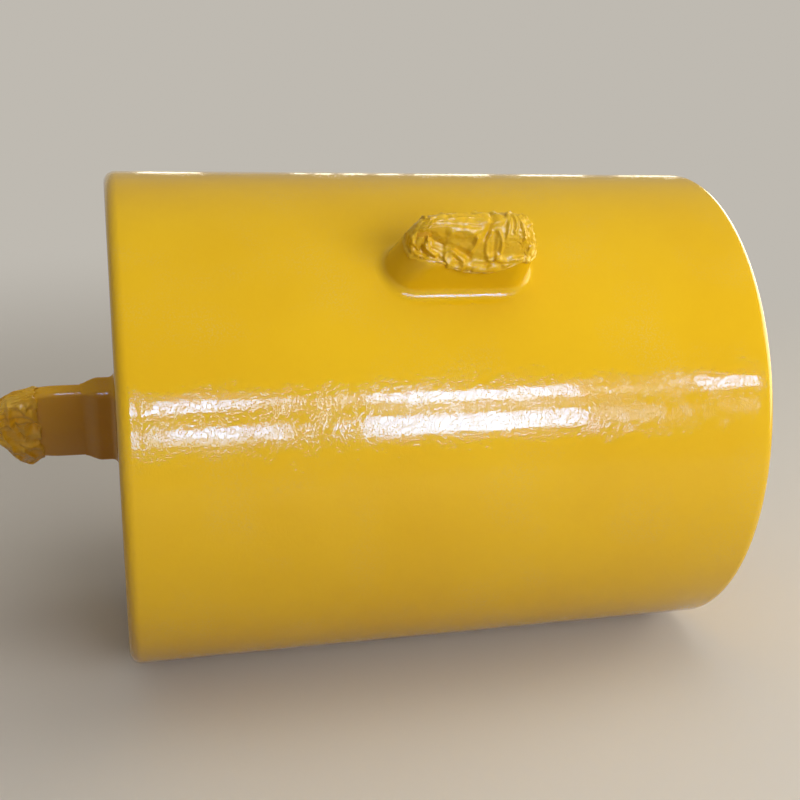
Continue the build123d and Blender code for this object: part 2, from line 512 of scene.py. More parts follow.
def ring_spot(entry, half_length, half_width, corner):
    """Spot of one ring entry on the rounded rectangle of a given size."""
    side_x, side_y, normal_x, normal_y = entry
    return (
        side_x * (half_length - corner) + normal_x * corner,
        side_y * (half_width - corner) + normal_y * corner,
    )


def grow_loop(bm, loop, place):
    """Extrudes a closed loop of vertices once and moves each new vertex where place says."""
    edges = [bm.edges.get((loop[index], loop[index - 1])) for index in range(len(loop))]
    grown = bmesh.ops.extrude_edge_only(bm, edges=edges)["geom"]
    fresh = {item for item in grown if isinstance(item, bmesh.types.BMVert)}
    ordered = []
    for vert in loop:
        across = [edge.other_vert(vert) for edge in vert.link_edges]
        ordered.append(next(partner for partner in across if partner in fresh))
    for index, vert in enumerate(ordered):
        vert.co = place(index)
    return ordered


def first_loop(bm, count, place):
    """A closed loop of vertices, each where place says."""
    verts = bmesh.ops.create_circle(bm, cap_ends=False, segments=count, radius=1)["verts"]
    for index, vert in enumerate(verts):
        vert.co = place(index)
    return verts


def make_piece(name, bm, place, material, nodes, sharp=radians(38)):
    """Mesh object from a bmesh, riding on the root and standing for the named nodes."""
    bmesh.ops.remove_doubles(bm, verts=bm.verts, dist=1e-6)
    bmesh.ops.recalc_face_normals(bm, faces=bm.faces)
    bmesh.ops.transform(bm, matrix=place, verts=bm.verts)
    mesh = bpy.data.meshes.new(name)
    bm.to_mesh(mesh)
    bm.free()
    mesh.shade_smooth()
    mesh.set_sharp_from_angle(angle=sharp)
    mesh.materials.append(material)
    piece = bpy.data.objects.new(name, mesh)
    bpy.context.scene.collection.objects.link(piece)
    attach(piece, "root")
    if nodes:
        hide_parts(*nodes)
    return piece


# Skin

def hand_laid(point):
    """Draws a point of the skin towards the axis by the slow waves of hand spraying."""
    wave = 0.5 + 0.5 * noise.noise(point * WAVE_SCALE)
    share = 1 - WAVE_DEPTH * wave / BARREL_RADIUS
    return Vector(
        (
            point.x,
            point.y * share,
            max(0.0, AXIS_HEIGHT + (point.z - AXIS_HEIGHT) * share),
        )
    )


def make_barrel():
    """Barrel turned from one profile, pole to pole, and set down on its flat."""
    bm = bmesh.new()
    across = Vector((0, 1, 0))
    straight = HALF_LENGTH - EDGE_RADIUS
    shoulder = BARREL_RADIUS - EDGE_RADIUS
    tip = bm.verts.new((-HALF_LENGTH, 0, 0))
    tip = run_to(bm, tip, (-HALF_LENGTH, 0, shoulder), 12)
    tip = arc_on(bm, tip, (-straight, 0, shoulder), across, pi / 2, 10)
    tip = run_to(bm, tip, (straight, 0, BARREL_RADIUS), WALL_STEPS)
    tip = arc_on(bm, tip, (straight, 0, shoulder), across, pi / 2, 10)
    run_to(bm, tip, (HALF_LENGTH, 0, 0), 12)
    full_turn(bm, BARREL_STEPS)
    bmesh.ops.translate(bm, vec=AXIS_MIDDLE, verts=bm.verts)
    for vert in bm.verts:
        vert.co = hand_laid(vert.co)
    return make_piece("barrel_skin", bm, Matrix(), skin_finish, ["outer_skin"])


def make_collar():
    """Obround collar: a flare off the barrel, a drafted wall that leans, a round rim and the top."""
    ring = rounded_ring(16, 20, 1)
    bm = bmesh.new()

    def spot(entry, height, grow):
        share = (height - COLLAR_BASE) / (COLLAR_TOP - COLLAR_BASE)
        longer = COLLAR_TOP_HALF_LENGTH - COLLAR_BASE_HALF_LENGTH
        wider = COLLAR_TOP_HALF_WIDTH - COLLAR_BASE_HALF_WIDTH
        half_length = COLLAR_BASE_HALF_LENGTH + longer * share
        half_width = COLLAR_BASE_HALF_WIDTH + wider * share
        return ring_spot(entry, half_length + grow, half_width + grow, half_width + grow)

    def on_flare(turn, sink=0.0):
        def place(index):
            grow = COLLAR_FLARE * (1 - sin(turn)) + sink * SINK_SPREAD
            x, y = spot(ring[index], COLLAR_BASE, grow)
            rise = COLLAR_FLARE * (1 - cos(turn)) - sink
            return Vector((x, y, sqrt(BARREL_RADIUS**2 - y * y) + rise))
        return place

    def on_rim(turn):
        def place(index):
            height = COLLAR_TOP - COLLAR_RIM * (1 - sin(turn))
            x, y = spot(ring[index], height, -COLLAR_RIM * (1 - cos(turn)))
            return Vector((x, y, height))
        return place

    loop = first_loop(bm, len(ring), on_flare(0, COLLAR_SINK))
    for step in range(9):
        loop = grow_loop(bm, loop, on_flare(step * pi / 16))
    foot = [vert.co.copy() for vert in loop]
    rim = on_rim(0)
    for step in range(1, 7):
        share = step / 6
        loop = grow_loop(bm, loop, lambda index: foot[index].lerp(rim(index), share))
    for step in range(1, 7):
        loop = grow_loop(bm, loop, on_rim(step * pi / 12))
    edge = [vert.co.copy() for vert in loop]
    for inward in (0.82, 0.6, 0.35, 0.1):
        loop = grow_loop(
            bm, loop, lambda index: Vector((edge[index].x * inward, edge[index].y * inward, COLLAR_TOP))
        )
    bm.faces.new(loop)
    for vert in bm.verts:
        vert.co.x += COLLAR_LEAN * max(0.0, (vert.co.z - BARREL_RADIUS) / (COLLAR_TOP - BARREL_RADIUS))
    bmesh.ops.transform(bm, matrix=side_place, verts=bm.verts)
    for vert in bm.verts:
        vert.co = hand_laid(vert.co)
    return make_piece("collar_skin", bm, Matrix(), skin_finish, ["side_collar"])


def make_boot():
    """Sleeve of skin round the pad eye's foot, flared off the end face."""
    ring = rounded_ring(8, 24, 4)
    bm = bmesh.new()
    half_height = PAD_HALF_WIDTH + BOOT_WALL
    half_depth = PAD_THICKNESS / 2 + BOOT_WALL

    def at(reach, grow):
        def place(index):
            corner = max(BOOT_CORNER + grow, BOOT_LEAST_CORNER)
            y, z = ring_spot(ring[index], half_height + grow, half_depth + grow, corner)
            return Vector((reach, y, z))
        return place

    loop = first_loop(bm, len(ring), at(-LAP, BOOT_FLARE + SKIRT))
    for step in range(7):
        turn = step * pi / 12
        loop = grow_loop(bm, loop, at(BOOT_FLARE * (1 - cos(turn)), BOOT_FLARE * (1 - sin(turn))))
    taper_start = BOOT_LENGTH - BOOT_TAPER
    for step in range(1, 3):
        loop = grow_loop(bm, loop, at(BOOT_FLARE + (taper_start - BOOT_FLARE) * step / 2, 0))
    for step in range(1, 11):
        share = step / 10
        thinned = BOOT_WALL * share * share * (3 - 2 * share)
        loop = grow_loop(bm, loop, at(taper_start + BOOT_TAPER * share, -thinned))
    grow_loop(bm, loop, at(BOOT_LENGTH - LAP, -BOOT_WALL - LAP))
    return make_piece("boot_skin", bm, pad_place, shade_tinted_boot, ["outer_skin"])


# Steel eyes

def make_pad_eye():
    """Stout plate with round edges and its shackle hole."""
    bm = bmesh.new()
    turned = Vector((0, 0, 1))
    shoulder_reach = PAD_SHOULDER_RADIUS - PAD_NOSE_RADIUS
    shoulder_drop = PAD_SHOULDER_RADIUS - PAD_HALF_WIDTH
    nose_run = sqrt(shoulder_reach**2 - shoulder_drop**2)
    nose_centre = PAD_STRAIGHT + nose_run
    shoulder_turn = atan2(nose_run, shoulder_drop)
    tip = bm.verts.new((0, PAD_HALF_WIDTH, 0))
    foot = tip
    tip = run_to(bm, tip, (PAD_STRAIGHT, PAD_HALF_WIDTH, 0), 6)
    shoulder_centre = (PAD_STRAIGHT, PAD_HALF_WIDTH - PAD_SHOULDER_RADIUS, 0)
    tip = arc_on(bm, tip, shoulder_centre, turned, -shoulder_turn, 16)
    arc_on(bm, tip, (nose_centre, 0, 0), turned, shoulder_turn - pi / 2, 6)
    bmesh.ops.mirror(bm, geom=bm.verts[:] + bm.edges[:], matrix=Matrix(), merge_dist=1e-5, axis="Y")
    lower_foot = min(bm.verts, key=lambda vert: (vert.co.x, vert.co.y))
    bm.edges.new((foot, lower_foot))
    hole = bmesh.ops.create_circle(bm, cap_ends=False, segments=40, radius=PAD_HOLE_RADIUS)["verts"]
    bmesh.ops.translate(bm, vec=(nose_centre, 0, 0), verts=hole)
    bmesh.ops.remove_doubles(bm, verts=bm.verts, dist=1e-5)
    rim_edges = bm.edges[:]
    bmesh.ops.triangle_fill(bm, edges=rim_edges, use_beauty=True, use_dissolve=False)
    bmesh.ops.dissolve_limit(bm, angle_limit=0.01, verts=bm.verts, edges=bm.edges)
    bmesh.ops.translate(bm, vec=(0, 0, -PAD_THICKNESS / 2), verts=bm.verts)
    raised = bmesh.ops.extrude_face_region(bm, geom=bm.faces[:])["geom"]
    raised_verts = [item for item in raised if isinstance(item, bmesh.types.BMVert)]
    bmesh.ops.translate(bm, vec=(0, 0, PAD_THICKNESS), verts=raised_verts)
    bmesh.ops.recalc_face_normals(bm, faces=bm.faces)
    sharp = [edge for edge in bm.edges if len(edge.link_faces) == 2 and edge.calc_face_angle() > 1.0]
    flat_rims = [edge for edge in sharp if abs(edge.verts[0].co.z - edge.verts[1].co.z) < 1e-6]
    round_edges(bm, flat_rims, PAD_EDGE_ROUND, 4)
    return make_piece("pad_eye_plate", bm, pad_place, shade_tinted_paint, ["pad_eye"])


def make_d_bar():
    """D eye bent from one round bar."""
    bm = bmesh.new()
    bend_start = D_REACH - BAR_RADIUS - D_HALF_WIDTH
    circle = bmesh.ops.create_circle(bm, cap_ends=False, segments=40, radius=BAR_RADIUS)["verts"]
    bmesh.ops.rotate(bm, cent=(0, 0, 0), matrix=Matrix.Rotation(pi / 2, 3, "Y"), verts=circle)
    bmesh.ops.translate(bm, vec=(-EYE_SINK, -D_HALF_WIDTH, 0), verts=circle)
    leg_run = bend_start + EYE_SINK
    edges = draw_out(bm, bm.edges[:], leg_run, 12)
    open_verts = list(dict.fromkeys(vert for edge in edges for vert in edge.verts))
    turned = bmesh.ops.spin(
        bm,
        geom=open_verts + edges,
        cent=(bend_start, 0, 0),
        axis=(0, 0, 1),
        angle=pi,
        steps=40,
        use_duplicate=False,
    )["geom_last"]
    edges = [item for item in turned if isinstance(item, bmesh.types.BMEdge)]
    draw_out(bm, edges, -leg_run, 12)
    return make_piece("d_eye_bar", bm, d_place, shade_tinted_paint, ["d_bar"])


def make_leg_flare(name, side):
    """Skin drawn up round one leg of the D eye."""
    bm = bmesh.new()
    tip = bm.verts.new((-LAP, BAR_RADIUS + LEG_FLARE + SKIRT, 0))
    tip = run_to(bm, tip, (0, BAR_RADIUS + LEG_FLARE, 0))
    tip = arc_on(bm, tip, (LEG_FLARE, BAR_RADIUS + LEG_FLARE, 0), (0, 0, 1), pi / 2, 8)
    run_to(bm, tip, (LEG_FLARE + LAP, BAR_RADIUS - LAP, 0))
    full_turn(bm, 48)
    bmesh.ops.translate(bm, vec=(0, side * D_HALF_WIDTH, 0), verts=bm.verts)
    return make_piece(name, bm, d_place, skin_finish, ["outer_skin"])


def make_d_web():
    """Plate between the legs of the D eye, with its outer lip rounded."""
    bm = bmesh.new()
    bmesh.ops.create_cube(bm, size=1)
    size = (WEB_LENGTH + EYE_SINK, 2 * D_HALF_WIDTH, WEB_THICKNESS)
    bmesh.ops.scale(bm, vec=size, verts=bm.verts)
    bmesh.ops.translate(bm, vec=((WEB_LENGTH - EYE_SINK) / 2, 0, 0), verts=bm.verts)
    lip = [edge for edge in bm.edges if all(vert.co.x > WEB_LENGTH - LAP for vert in edge.verts)]
    lip = [edge for edge in lip if abs(edge.verts[0].co.y - edge.verts[1].co.y) > D_HALF_WIDTH]
    round_edges(bm, lip, WEB_LIP_ROUND, 5)
    return make_piece("d_eye_web", bm, d_place, shade_tinted_paint, ["d_web"])


# Film wraps

def dome(cuts, place):
    """Half of a subdivided ball, each vertex moved where place says."""
    bm = bmesh.new()
    bmesh.ops.create_cube(bm, size=2)
    bmesh.ops.subdivide_edges(bm, edges=bm.edges[:], cuts=cuts, use_grid_fill=True)
    for vert in bm.verts:
        vert.co = vert.co.normalized()
    bmesh.ops.bisect_plane(
        bm,
        geom=bm.verts[:] + bm.edges[:] + bm.faces[:],
        dist=1e-4,
        plane_co=(0, 0, 0),
        plane_no=(0, 0, -1),
        clear_outer=True,
    )
    for vert in bm.verts:
        vert.co = place(vert.co.copy())
    return bm


def flowing(value, spots):
    """Height at a value along a smooth run through (place, height) spots."""
    if value <= spots[0][0]:
        return spots[0][1]
    if value >= spots[-1][0]:
        return spots[-1][1]
    last = len(spots) - 1
    index = next(number for number in range(last) if value <= spots[number + 1][0])

    def slope(number):
        before, after = spots[max(number - 1, 0)], spots[min(number + 1, last)]
        return (after[1] - before[1]) / (after[0] - before[0])

    (start, low), (end, high) = spots[index], spots[index + 1]
    run = end - start
    share = (value - start) / run
    level = low + (high - low) * share * share * (3 - 2 * share)
    leaving = slope(index) * (1 - share) ** 2 * share
    arriving = slope(index + 1) * share**2 * (1 - share)
    return level + run * (leaving - arriving)


def traced(folds):
    """Folds as runs of short edges with the box they reach: each is a bent line through three spots."""
    runs = []
    for start, middle, end, width, height in folds:
        spots = []
        for step in range(10):
            share = step / 9
            first, last = (1 - share) * (1 - 2 * share), share * (2 * share - 1)
            centre = 4 * share * (1 - share)
            spots.append([first * a + centre * b + last * c for a, b, c in zip(start, middle, end)])
        xs, ys = [spot[0] for spot in spots], [spot[1] for spot in spots]
        box = min(xs) - width, max(xs) + width, min(ys) - width, max(ys) + width
        runs.append((list(zip(spots, spots[1:])), box, width, height))
    return runs


def gap_to_edge(x, y, edge):
    """Distance from a spot to a short edge."""
    (from_x, from_y), (to_x, to_y) = edge
    run_x, run_y = to_x - from_x, to_y - from_y
    share = ((x - from_x) * run_x + (y - from_y) * run_y) / (run_x**2 + run_y**2)
    share = min(1.0, max(0.0, share))
    return hypot(x - from_x - run_x * share, y - from_y - run_y * share)


def fold_height(x, y, runs):
    """Height that the folds add at a spot: each has a sharp crest, or a sharp valley."""
    total = 0.0
    for edges, (left, right, low, high), width, height in runs:
        if left < x < right and low < y < high:
            nearest = min(width, min(gap_to_edge(x, y, edge) for edge in edges))
            total += height * (1 - nearest / width) ** 1.4
    return total


def crumpled(point, size):
    """Height of a sharp, ridged crumple at a point, from about -1 to 1."""
    ridge = 1 - abs(noise.noise(point * size))
    fine = 1 - abs(noise.noise(point * size * 2.3 + Vector((7, 3, 5))))
    return 1.6 * (ridge * ridge - 0.75) + 0.8 * (fine * fine - 0.75)


def settle(piece, formers):
    """Lets a film draw down over what it covers and wrinkle, no spot further than the cap."""
    scene = bpy.context.scene
    stands = []
    for former in formers:
        stand = bpy.data.objects.new("former", former.data.copy())
        scene.collection.objects.link(stand)
        stand.modifiers.new("former", "COLLISION")
        stand.collision.thickness_outer = FILM_CLEARANCE
        stand.collision.cloth_friction = 12
        stands.append(stand)
    cloth = piece.modifiers.new("film", "CLOTH")
    settings = cloth.settings
    settings.quality = 5
    settings.mass = 0.05
    settings.tension_stiffness = 25
    settings.compression_stiffness = 25
    settings.shear_stiffness = 8
    settings.bending_stiffness = 0.3
    settings.shrink_min = -FILM_SLACK
    settings.use_pressure = True
    settings.uniform_pressure_force = -FILM_PULL
    settings.effector_weights.gravity = 0
    settings.vertex_group_mass = "hem"
    settings.pin_stiffness = 1
    cloth.collision_settings.distance_min = FILM_CLEARANCE
    cloth.collision_settings.use_self_collision = True
    cloth.collision_settings.self_distance_min = FILM_CLEARANCE
    for frame_number in range(1, FILM_FRAMES + 1):
        scene.frame_set(frame_number)
    settled = piece.evaluated_get(bpy.context.evaluated_depsgraph_get()).data
    for vert, moved in zip(piece.data.vertices, settled.vertices):
        step = moved.co - vert.co
        if step.length > FILM_CAP:
            step *= FILM_CAP / step.length
        vert.co += step
    piece.modifiers.clear()
    scene.frame_set(1)
    for stand in stands:
        bpy.data.objects.remove(stand)


def pin_hem(piece):
    """Names the open edge of a film as the part that stays where it is."""
    hem = piece.vertex_groups.new(name="hem")
    bm = bmesh.new()
    bm.from_mesh(piece.data)
    rim = [vert.index for vert in bm.verts if vert.is_boundary]
    bm.free()
    hem.add(rim, 1.0, "REPLACE")


def finish_film(piece, place, fold_at, crinkle_at, size):
    """Rounds the film, raises its folds and its crinkles, and gives it its thickness."""
    back = place.inverted()
    bm = bmesh.new()
    bm.from_mesh(piece.data)
    inner = [vert for vert in bm.verts if not vert.is_boundary]
    bmesh.ops.smooth_vert(
        bm, verts=inner, factor=0.5, use_axis_x=True, use_axis_y=True, use_axis_z=True
    )
    bmesh.ops.subdivide_edges(bm, edges=bm.edges[:], cuts=2, use_grid_fill=True, smooth=1.0)
    bm.normal_update()
    inner = [vert for vert in bm.verts if not vert.is_boundary]
    heights = []
    for vert in inner:
        spot = back @ vert.co
        heights.append(fold_at(spot) + crinkle_at(spot) * crumpled(spot, size))
    for vert, height in zip(inner, heights):
        vert.co += vert.normal * height
    bm.to_mesh(piece.data)
    bm.free()
    piece.data.shade_smooth()
    wall = piece.modifiers.new("wall", "SOLIDIFY")
    wall.thickness = FILM_THICKNESS
    wall.offset = -1


# Side eye's wrap: (place along the barrel, height) of its crest, then (place, reach across) of its
# borders, then its folds, each through three spots, with its width and height
BAIL_FILM_LEFT = -0.130
BAIL_FILM_RIGHT = 0.166
BAIL_CREST = (
    (-0.130, 0.0), (-0.118, 0.046), (-0.100, 0.066), (-0.060, 0.077), (0.020, 0.079),
    (0.085, 0.084), (0.128, 0.078), (0.150, 0.050), (0.166, 0.005),
)
BAIL_NEAR = ((-0.130, 0.060), (-0.060, 0.061), (0.000, 0.066), (0.050, 0.066), (0.166, 0.062))
BAIL_FAR = ((-0.130, 0.046), (-0.060, 0.052), (0.020, 0.058), (0.166, 0.058))
BAIL_FOLDS = traced(
    (
        ((-0.116, -0.016), (-0.059, -0.034), (0.001, -0.052), 0.0065, -0.0075),
        ((0.008, -0.063), (0.086, -0.061), (0.126, -0.053), 0.0055, -0.0060),
        ((-0.067, -0.049), (-0.061, -0.055), (-0.054, -0.059), 0.0065, -0.0065),
        ((-0.035, -0.053), (-0.022, -0.058), (-0.030, -0.061), 0.0055, -0.0050),
        ((-0.105, -0.029), (-0.093, -0.043), (-0.072, -0.051), 0.0060, -0.0050),
        ((-0.125, -0.017), (-0.117, -0.035), (-0.103, -0.047), 0.0055, -0.0040),
        ((0.049, -0.028), (0.051, -0.046), (0.053, -0.057), 0.0070, -0.0040),
        ((0.046, 0.020), (0.043, -0.008), (0.031, -0.031), 0.0080, -0.0060),
        ((-0.123, -0.014), (-0.120, -0.028), (-0.110, -0.040), 0.0060, 0.0050),
        ((-0.096, -0.030), (-0.088, -0.040), (-0.076, -0.046), 0.0065, 0.0055),
        ((-0.053, -0.037), (-0.037, -0.044), (-0.012, -0.052), 0.0070, 0.0065),
        ((-0.045, -0.022), (-0.012, -0.022), (0.011, -0.030), 0.0130, 0.0085),
        ((0.011, -0.030), (0.008, -0.040), (0.000, -0.045), 0.0080, 0.0065),
        ((-0.052, -0.046), (-0.053, -0.054), (-0.046, -0.060), 0.0060, 0.0060),
        ((-0.024, -0.054), (-0.012, -0.059), (-0.014, -0.062), 0.0060, 0.0055),
        ((0.042, -0.027), (0.033, -0.045), (0.050, -0.059), 0.0060, 0.0060),
        ((0.058, -0.025), (0.067, -0.046), (0.056, -0.059), 0.0060, 0.0060),
        ((0.060, -0.060), (0.087, -0.058), (0.122, -0.052), 0.0060, 0.0060),
        ((0.010, -0.066), (0.066, -0.065), (0.138, -0.052), 0.0055, 0.0040),
        ((0.080, 0.010), (0.082, -0.010), (0.077, -0.033), 0.0065, 0.0055),
        ((0.092, 0.008), (0.098, -0.012), (0.094, -0.027), 0.0060, 0.0055),
        ((0.102, 0.004), (0.112, -0.018), (0.118, -0.034), 0.0060, 0.0055),
        ((0.130, -0.006), (0.138, -0.024), (0.133, -0.038), 0.0070, 0.0060),
        ((0.116, 0.014), (0.126, 0.000), (0.128, -0.016), 0.0060, 0.0050),
        ((-0.110, -0.010), (-0.054, -0.009), (0.016, -0.014), 0.0040, 0.0020),
        ((-0.105, -0.016), (-0.049, -0.016), (0.010, -0.021), 0.0040, 0.0020),
        ((-0.086, -0.006), (-0.038, 0.000), (0.023, 0.002), 0.0040, 0.0020),
        ((-0.094, 0.004), (-0.030, 0.012), (0.030, 0.012), 0.0050, 0.0025),
        ((-0.096, 0.014), (-0.100, 0.026), (-0.092, 0.040), 0.0070, 0.0050),
        ((-0.062, 0.020), (-0.056, 0.034), (-0.064, 0.048), 0.0070, 0.0055),
        ((-0.030, 0.022), (-0.018, 0.036), (-0.022, 0.052), 0.0065, 0.0050),
        ((0.006, 0.020), (0.020, 0.036), (0.012, 0.054), 0.0070, 0.0055),
        ((0.050, 0.024), (0.062, 0.036), (0.056, 0.054), 0.0070, 0.0055),
        ((0.086, 0.020), (0.100, 0.034), (0.110, 0.048), 0.0065, 0.0050),
        ((-0.080, 0.040), (-0.010, 0.034), (0.070, 0.046), 0.0060, -0.0050),
    )
)


def rim_drop(x, y):
    """Depth below the collar's top of a film that hangs down over the rim."""
    along = max(0.0, abs(x - COLLAR_LEAN) - COLLAR_TOP_HALF_LENGTH + COLLAR_TOP_HALF_WIDTH)
    over = max(0.0, hypot(along, y) - COLLAR_TOP_HALF_WIDTH + COLLAR_RIM)
    if over < COLLAR_RIM:
        return COLLAR_RIM - sqrt(COLLAR_RIM**2 - over**2)
    return COLLAR_RIM + 2.5 * (over - COLLAR_RIM)


def bail_film_spot(ball):
    """Place on the side eye's wrap for a place on the unit half ball."""
    turn = atan2(ball.y, ball.x)
    spread = sqrt(max(0.0, 1 - ball.z**2)) ** 0.95
    reach = spread / max(abs(cos(turn)) ** 3 + abs(sin(turn)) ** 3, 1e-9) ** (1 / 3)
    share_x, share_y = reach * cos(turn), reach * sin(turn)
    middle = (BAIL_FILM_LEFT + BAIL_FILM_RIGHT) / 2
    x = middle + (BAIL_FILM_RIGHT - BAIL_FILM_LEFT) / 2 * share_x
    y = flowing(x, BAIL_NEAR if share_y < 0 else BAIL_FAR) * share_y
    outer = max(1 - abs(share_x) ** 3, 1e-9) ** (1 / 3)
    closeness = min(1.0, abs(share_y) / outer)
    to_right = min(1.0, max(0.0, (x + 0.060) / 0.120))
    if share_y < 0:
        slope = (1 - closeness ** (1.5 + 0.5 * to_right)) ** (0.9 - 0.3 * to_right)
    else:
        slope = (1 - closeness**2) ** 0.55
    return Vector((x, y, COLLAR_TOP + FILM_GAP + flowing(x, BAIL_CREST) * slope - rim_drop(x, y)))


def bail_fold_at(spot):
    """Height of the side eye wrap's folds at a spot."""
    return fold_height(spot.x, spot.y, BAIL_FOLDS)


def bail_crinkle_at(spot):
    """The side eye's wrap is crinkled most at its end towards the D eye."""
    share = min(1.0, max(0.0, (spot.x - 0.060) / 0.040)) * min(1.0, max(0.0, (spot.y + 0.045) / 0.015))
    return 0.0003 + 0.0009 * share


def make_bail_film():
    """Film drawn down over the side eye and bunched on the collar's top."""
    bm = dome(FILM_CUTS, bail_film_spot)
    piece = make_piece(
        "side_eye_film", bm, side_place, side_film_finish, ["bail_film"], sharp=radians(180)
    )
    pin_hem(piece)
    settle(piece, (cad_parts["side_bail"], collar))
    finish_film(piece, side_place, bail_fold_at, bail_crinkle_at, 90.0)
    return piece


# Pad eye's wrap: where it starts along the plate and how long it is, its half widths above and
# below, its half thickness on the near and the far face, then its folds on the near face
NOSE_START = 0.178
NOSE_LENGTH = 0.124
NOSE_ABOVE = (
    (0.178, 0.147), (0.200, 0.140), (0.222, 0.129), (0.240, 0.118), (0.262, 0.101), (0.303, 0.056),
)
NOSE_BELOW = (
    (0.178, 0.152), (0.192, 0.180), (0.210, 0.204), (0.230, 0.202), (0.250, 0.164), (0.272, 0.108),
    (0.303, 0.056),
)
NOSE_NEAR = ((0.178, 0.0178), (0.198, 0.022), (0.222, 0.033), (0.260, 0.034), (0.303, 0.026))
NOSE_FAR = ((0.178, 0.0180), (0.240, 0.020), (0.303, 0.020))
NOSE_FOLDS = traced(
    (
        ((0.213, 0.112), (0.195, 0.074), (0.176, 0.040), 0.0120, 0.0100),
        ((0.204, 0.032), (0.190, 0.030), (0.178, 0.024), 0.0060, -0.0080),
        ((0.196, 0.120), (0.206, 0.098), (0.206, 0.070), 0.0080, 0.0050),
        ((0.178, 0.110), (0.190, 0.092), (0.188, 0.066), 0.0070, 0.0040),
        ((0.179, 0.000), (0.180, -0.025), (0.179, -0.055), 0.0060, 0.0050),
        ((0.260, -0.027), (0.242, -0.079), (0.228, -0.113), 0.0100, 0.0080),
        ((0.223, -0.056), (0.202, -0.066), (0.182, -0.056), 0.0080, 0.0070),
        ((0.222, -0.082), (0.212, -0.105), (0.200, -0.130), 0.0080, 0.0070),
        ((0.240, -0.120), (0.232, -0.150), (0.226, -0.180), 0.0080, 0.0060),
        ((0.200, -0.140), (0.206, -0.160), (0.214, -0.180), 0.0080, 0.0060),
        ((0.238, 0.110), (0.243, 0.070), (0.240, 0.020), 0.0090, 0.0070),
        ((0.228, 0.060), (0.230, 0.020), (0.222, -0.030), 0.0080, -0.0060),
        ((0.262, 0.070), (0.266, 0.030), (0.262, -0.020), 0.0100, 0.0070),
        ((0.284, 0.040), (0.280, 0.010), (0.284, -0.030), 0.0090, 0.0060),
        ((0.214, 0.010), (0.212, -0.020), (0.216, -0.046), 0.0080, 0.0060),
    )
)

# Dent where the wrap sinks into the shackle hole
DENT_MIDDLE = (0.192, 0.008)
DENT_SPREAD = (0.012, 0.020)
DENT_DEPTH = 0.020


def nose_film_spot(ball):
    """Place on the pad eye's wrap for a place on the unit half ball, its hem a little uneven."""
    turn = atan2(ball.y, ball.x)
    spread = sqrt(max(0.0, 1 - ball.z**2))
    reach = 1 / max(abs(cos(turn)) ** 7 + abs(sin(turn)) ** 7, 1e-9) ** (1 / 7)
    uneven = (0.004 * sin(9 * turn) + 0.002 * sin(19 * turn + 1)) * spread**6
    x = NOSE_START + uneven + NOSE_LENGTH * max(ball.z, 0.0) ** 0.9
    y = flowing(x, NOSE_ABOVE if ball.x > 0 else NOSE_BELOW) * reach * cos(turn) * spread**0.3
    thinned = 1 - 0.62 * min(1.0, max(0.0, -y - 0.140) / 0.05)
    z = flowing(x, NOSE_FAR if ball.y > 0 else NOSE_NEAR) * reach * sin(turn) * spread**0.3 * thinned
    return Vector((x, y, z))


def nose_fold_at(spot):
    """Height of the pad eye wrap's folds at a spot, with the dent where it sinks into the hole."""
    if spot.z > 0:
        return 0.0
    across = (spot.x - DENT_MIDDLE[0]) / DENT_SPREAD[0]
    along = (spot.y - DENT_MIDDLE[1]) / DENT_SPREAD[1]
    return fold_height(spot.x, spot.y, NOSE_FOLDS) - DENT_DEPTH * exp(-(across**2 + along**2))


def nose_crinkle_at(spot):
    """The pad eye's wrap is smooth where it is drawn over the plate's edge, and crinkled below."""
    share = min(1.0, max(0.0, (0.100 - spot.y) / 0.060))
    return 0.0003 + 0.0007 * share


def make_nose_film():
    """Film wrapped over the pad eye's nose, with a loose bunch of it below."""
    bm = dome(FILM_CUTS, nose_film_spot)
    piece = make_piece(
        "pad_eye_film", bm, pad_place, shade_tinted_end_film, ["nose_film"], sharp=radians(180)
    )
    pin_hem(piece)
    settle(piece, (pad_eye_plate,))
    finish_film(piece, pad_place, nose_fold_at, nose_crinkle_at, 80.0)
    return piece


make_barrel()
collar = make_collar()
make_boot()
pad_eye_plate = make_pad_eye()
make_d_bar()
make_d_web()
make_leg_flare("upper_leg_flare", 1)
make_leg_flare("lower_leg_flare", -1)
make_bail_film()
make_nose_film()

# Finishes of the solids that stay
for node_name, finish in (
    ("foam_core", foam_material()),
    ("steel_core", core_steel_material()),
    ("side_strut", core_steel_material()),
    ("side_bail", shade_tinted_paint),
):
    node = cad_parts[node_name]
    node.data.materials.clear()
    node.data.materials.append(finish)


# Stage, light and camera

# Floor: its reach and the height of its rim, the colour it bounces and the one it shows, and the
# even glow that takes over between two distances
FLOOR_RADIUS = 60
RIM_HEIGHT = 9
FLOOR_BOUNCE = (0.26, 0.18, 0.11, 1)
FLOOR_SHOWN = (0.64, 0.60, 0.54, 1)
FAR_GLOW = (0.52, 0.49, 0.44, 1)
GLOW_STARTS = 1.6
GLOW_FULL = 5.0


